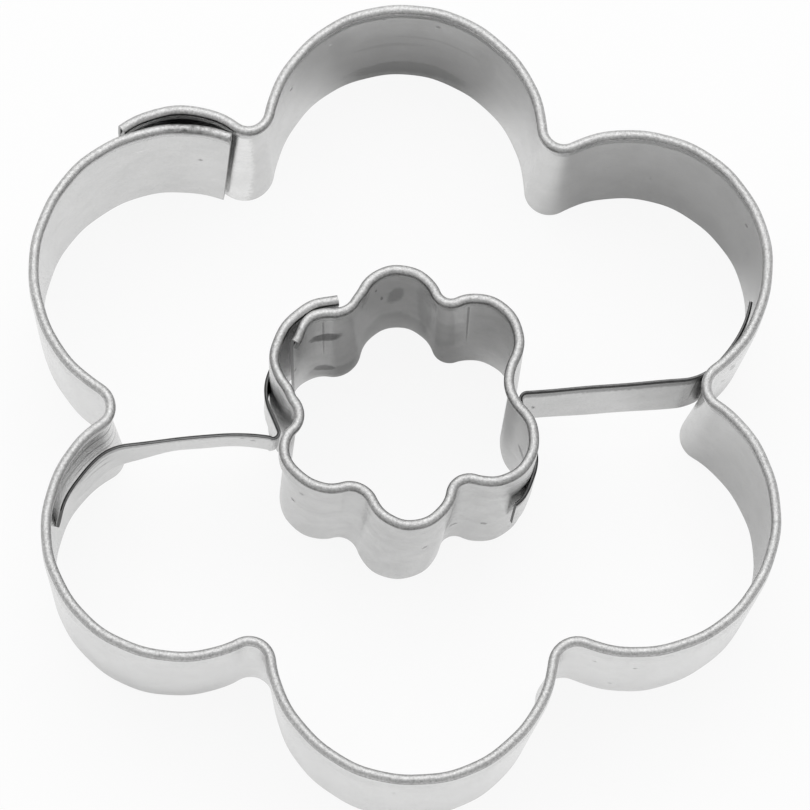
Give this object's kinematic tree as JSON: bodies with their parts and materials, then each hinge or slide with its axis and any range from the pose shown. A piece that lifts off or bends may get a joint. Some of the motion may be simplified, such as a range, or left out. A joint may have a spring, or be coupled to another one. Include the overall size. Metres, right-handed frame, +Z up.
{
  "type": "cookie cutter",
  "caption": "Double flower cutter of thin tinplate: an outer and an inner petalled band with hemmed top edges, joined by spot-welded crossbars",
  "frame": {"origin": "middle of the outer band's plan box, on the plane of the cutting edges", "axes": "+Z up from the cutting edges to the hems, +Y along the tip of the petal that is far from the camera, +X to the right-hand crossbar"},
  "size_m": [0.0752, 0.0818, 0.0202],
  "materials": {
    "outer_band": "bright tinplate with faint rolling grain",
    "inner_band": "bright tinplate with faint rolling grain and weld marks",
    "left_crossbar": "bright tinplate strip with sheared edges",
    "right_crossbar": "bright tinplate strip with sheared edges"
  },
  "bodies": {
    "root": {"outer_band": "outer_band", "inner_band": "inner_band", "left_crossbar": "left_crossbar", "right_crossbar": "right_crossbar"}
  },
  "joints": []
}
